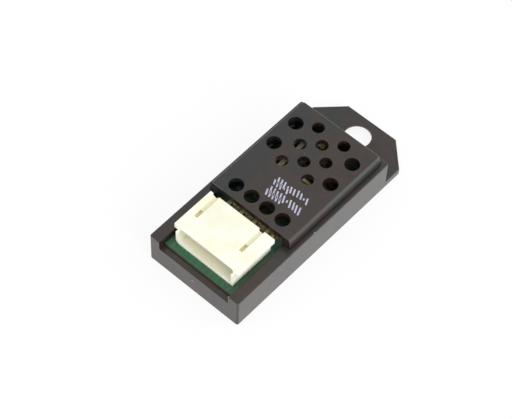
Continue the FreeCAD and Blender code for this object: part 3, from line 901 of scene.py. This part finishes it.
cover = new_block("case_cover_shell", (cover_low.x, -cover_half, cover_low.z),
                  (cover_high.x, cover_half, rim_z))
round_edges(cover, cover_corner, lambda a, b: upright(a, b) and a.x > 0, segments=6)
pick_edges(cover, lambda a, b: min(a.z, b.z) > rim_z - tolerance)
draw_out(0, 0, cover_high.z - rim_z)
shorter = 1 - cover_lean_rear / (cover_high.x - cover_low.x)
narrower = 1 - (cover_lean_left + cover_lean_right) / 2 / cover_half
scale_picked((shorter, narrower, 1), cover_low.x, 0, cover_high.z)
bpy.ops.transform.translate(value=(0, (cover_lean_right - cover_lean_left) / 2 * MM, 0))
bpy.ops.object.mode_set(mode="OBJECT")
round_edges(cover, cover_round, lambda a, b: min(a.z, b.z) > cover_high.z - tolerance, segments=5)
cutters = [new_block("hollow", (cover_low.x - beyond, skirt - cover_half, cover_low.z - beyond),
                     (cover_high.x - skirt, cover_half - skirt, plate_bottom))]
cutters += [new_post("vent", x, y, plate_bottom - beyond, cover_high.z + beyond, radius, sides=56)
            for x, y, radius in vents]
combine(cover, cutters, "DIFFERENCE")
break_edges(cover, cover_edge)
ridge_z = board_high.z + snap_rise
ridges = []
for x, side in snaps:
    low_y, high_y = sorted((side * (cover_half - overlap), side * (cover_half + snap_depth)))
    ridge = new_block("ridge", (x - snap_length / 2, low_y, ridge_z),
                      (x + snap_length / 2, high_y, ridge_z + snap_height))
    pick_edges(ridge, lambda a, b: (
        max(a.z, b.z) < ridge_z + tolerance and min(side * a.y, side * b.y) > cover_half))
    bpy.ops.transform.translate(value=(0, 0, snap_slope * MM))
    bpy.ops.object.mode_set(mode="OBJECT")
    ridges.append(ridge)
combine(cover, ridges, "UNION")
smooth(cover)
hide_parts("case_cover")
dress(cover, case_plastic)

# Inspection stamp
# Two short rows of plain parallel strokes in pale ink, rubber-stamped by hand on the cover beside
# the vents and struck twice. The ink is thin and uneven, so the black shows through in places.

ink_height = 0.012
ink_depth = 0.004
stroke_width = 0.26
stroke_pitch = 0.62
stroke_slant = math.radians(24)
dot_share = 0.3
# Each row: the X and Y of its first stroke, how many strokes, their length and which are dots
stamp_rows = [(-1.3, 0.5, 10, 1.3, (3, 8)), (-3.35, 0.2, 10, 1.5, (5,))]
second_shift = (-0.6, 0.25)
second_strokes = 5
second_share = 0.8
wander = 0.1
slant_wander = 3
draw = random.Random(7)


def new_stroke(x, y, length, slant):
    """One stroke: a thin bar of ink, turned on the cover's face."""
    stroke = new_block("stroke", (-length / 2, -stroke_width / 2, cover_high.z - ink_depth),
                       (length / 2, stroke_width / 2, cover_high.z + ink_height))
    stroke.data.transform(Matrix.Translation((x * MM, y * MM, 0)) @ Matrix.Rotation(slant, 4, "Z"))
    return stroke


strokes = []
for row_x, row_y, count, full_length, dots in stamp_rows:
    for i in range(count):
        x = row_x + draw.uniform(-wander, wander)
        y = row_y - i * stroke_pitch
        length = full_length * (dot_share if i in dots else draw.uniform(0.85, 1.05))
        slant = stroke_slant + math.radians(draw.uniform(-slant_wander, slant_wander))
        strokes.append(new_stroke(x, y, length, slant))
        if i < second_strokes:
            strokes.append(new_stroke(x + second_shift[0], y + second_shift[1],
                                      length * second_share, slant))
bpy.ops.object.select_all(action="DESELECT")
for stroke in strokes:
    stroke.select_set(True)
bpy.context.view_layer.objects.active = strokes[0]
bpy.ops.object.join()
stamp = bpy.context.object
stamp.name = stamp.data.name = "inspection_stamp"


def paint_ink(place):
    """Pale bluish ink, broken up by fine voids."""
    voids = place.noise(0.22, detail=3, roughness=0.7)
    return {
        "Base Color": voids.mix(colour(168, 168, 188), colour(190, 190, 208)),
        "Alpha": voids.step(0.3, 0.44),
        "Roughness": 0.6,
    }


dress(stamp, new_material("pale ink", paint_ink))

# Stage, light and camera
# A plain white floor and surround, soft even light, and the photograph's camera.

floor_size = 2.4
floor_gap = 0.01
surround_strength = 0.75
bpy.ops.object.select_all(action="DESELECT")
bpy.ops.mesh.primitive_plane_add(size=floor_size, location=(0, 0, -floor_gap * MM))
floor = bpy.context.object
floor.name = "floor"


def show_white(tree, shader, seen_share, mirrored_share):
    """Mix a surface or the world with plain white, by its share in what is seen and mirrored."""
    own = Socket(tree, shader.outputs[0])
    seen, glossy, passed = (own.node("ShaderNodeLightPath", output=f"Is {kind} Ray")
                            for kind in ("Camera", "Glossy", "Transmission"))
    share = (seen * seen_share).math("MAXIMUM", glossy.math("MAXIMUM", passed) * mirrored_share)
    light = "ShaderNodeBackground" if shader.type == "BACKGROUND" else "ShaderNodeEmission"
    white = own.node(light, {}, {"Color": (1, 1, 1, 1), "Strength": 1.0})
    mixed = own.node("ShaderNodeMixShader", {}, {0: share, 1: own, 2: white})
    target = find_node(tree, "OUTPUT_MATERIAL", "OUTPUT_WORLD")
    tree.links.new(mixed.output, target.inputs["Surface"])


def paint_floor(place):
    """Plain white, which needs no pattern."""
    return {"Base Color": (0.9, 0.9, 0.9), "Roughness": 0.9}


floor_white = new_material("white floor", paint_floor, Specular_IOR_Level=0.0)
floor.data.materials.append(floor_white)
floor_tree = floor_white.node_tree
show_white(floor_tree, find_node(floor_tree, "BSDF_PRINCIPLED"), seen_share=0.88, mirrored_share=0.86)

world = bpy.data.worlds.new("white surround")
bpy.context.scene.world = world
world.use_nodes = True
background = find_node(world.node_tree, "BACKGROUND")
background.inputs["Color"].default_value = (1, 1, 1, 1)
background.inputs["Strength"].default_value = surround_strength
show_white(world.node_tree, background, seen_share=1.0, mirrored_share=0.25)

# Square soft boxes that face the object: name, place and width in metres, and power in watts
lamps = [
    ("overhead softbox", (-0.1, 0.1, 0.5), 0.5, 0.21),
    ("side softbox", (0.35, -0.35, 0.3), 0.3, 0.8),
    ("low right softbox", (-0.1, -0.46, 0.25), 0.3, 1.35),
    ("low front softbox", (-0.44, 0.2, 0.07), 0.3, 0.75),
]
for name, place, width, power in lamps:
    lamp = bpy.data.lights.new(name, "AREA")
    lamp.size = width
    lamp.energy = power
    holder = bpy.data.objects.new(name, lamp)
    holder.location = place
    holder.rotation_euler = (-Vector(place)).to_track_quat("-Z", "Y").to_euler()
    bpy.context.scene.collection.objects.link(holder)

# The camera's place, turn and focal length were fitted to the edges of the object in the photograph
view_heading = math.radians(39.96)
view_tilt = math.radians(55.97)
view_roll = math.radians(2.46)
view_distance = 288.0
view_shift = (4.238, 1.919)
view_aim = Vector((20.0 + base_low.x, 0, 3.0))
focal_pixels = 1918.1
photo_width = 512
sensor = 36.0

level_step = math.cos(view_tilt)
ahead = Vector((math.cos(view_heading) * level_step, math.sin(view_heading) * level_step,
                -math.sin(view_tilt)))
level = Vector((math.sin(view_heading), -math.cos(view_heading), 0))
rise = level.cross(ahead)
right = math.cos(view_roll) * level + math.sin(view_roll) * rise
up = math.cos(view_roll) * rise - math.sin(view_roll) * level
spot = view_aim - view_shift[0] * right - view_shift[1] * up - view_distance * ahead
lens = bpy.data.cameras.new("camera")
lens.sensor_width = sensor
lens.lens = focal_pixels * sensor / photo_width
lens.clip_start = 0.01
lens.clip_end = 10
camera = bpy.data.objects.new("camera", lens)
turn = Matrix((right, up, -ahead)).transposed().to_4x4()
camera.matrix_world = Matrix.Translation(spot * MM) @ turn
bpy.context.scene.collection.objects.link(camera)
bpy.context.scene.camera = camera
bpy.context.scene.view_settings.view_transform = "Standard"
